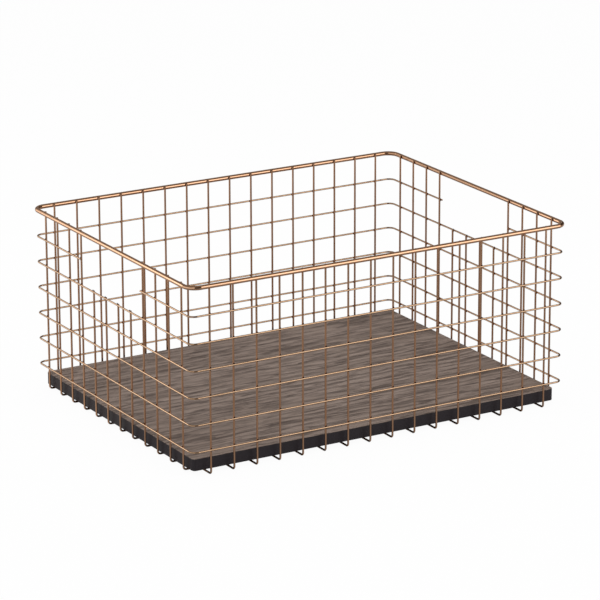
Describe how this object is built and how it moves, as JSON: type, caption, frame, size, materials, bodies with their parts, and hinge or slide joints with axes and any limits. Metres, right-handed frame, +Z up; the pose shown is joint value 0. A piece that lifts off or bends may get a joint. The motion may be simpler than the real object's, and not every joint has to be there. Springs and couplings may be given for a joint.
{
  "type": "wire locker basket",
  "caption": "Open rectangular basket of welded plated wire with a heavier rod rim, a hand opening in each end wall and a loose wood-faced base board.",
  "frame": {"origin": "middle of the plane that the basket stands on", "axes": "+X along the long walls, +Y from the front wall to the back wall, +Z up out of the open top"},
  "size_m": [0.4306, 0.3328, 0.191],
  "materials": {
    "copper_plated_wire": "polished copper plating on steel wire",
    "dark_board_core": "satin black painted fibreboard edge",
    "wood_facing": "satin grey-brown stained wood grain"
  },
  "bodies": {
    "basket": {"cross_wire_01": "copper_plated_wire", "cross_wire_02": "copper_plated_wire", "cross_wire_03": "copper_plated_wire", "cross_wire_04": "copper_plated_wire", "cross_wire_05": "copper_plated_wire", "cross_wire_06": "copper_plated_wire", "cross_wire_07": "copper_plated_wire", "cross_wire_08": "copper_plated_wire", "cross_wire_09": "copper_plated_wire", "cross_wire_10": "copper_plated_wire", "cross_wire_11": "copper_plated_wire", "cross_wire_12": "copper_plated_wire", "cross_wire_13": "copper_plated_wire", "cross_wire_14": "copper_plated_wire", "cross_wire_15": "copper_plated_wire", "cross_wire_16": "copper_plated_wire", "length_wire_01": "copper_plated_wire", "length_wire_02": "copper_plated_wire", "length_wire_03": "copper_plated_wire", "length_wire_04": "copper_plated_wire", "length_wire_05": "copper_plated_wire", "length_wire_06": "copper_plated_wire", "length_wire_07": "copper_plated_wire", "length_wire_08": "copper_plated_wire", "length_wire_09": "copper_plated_wire", "length_wire_10": "copper_plated_wire", "length_wire_11": "copper_plated_wire", "length_wire_12": "copper_plated_wire", "top_hoop_front": "copper_plated_wire", "top_hoop_back": "copper_plated_wire", "hoop_2": "copper_plated_wire", "hoop_3": "copper_plated_wire", "hoop_4": "copper_plated_wire", "hoop_5": "copper_plated_wire", "hoop_6": "copper_plated_wire", "rim": "copper_plated_wire"},
    "board": {"board_core": "dark_board_core", "board_facing": "wood_facing"}
  },
  "joints": [
    {"name": "board_lift", "type": "slide", "parent": "basket", "child": "board", "axis": [0, 0, 1], "range_m": [0, 0.2]}
  ]
}
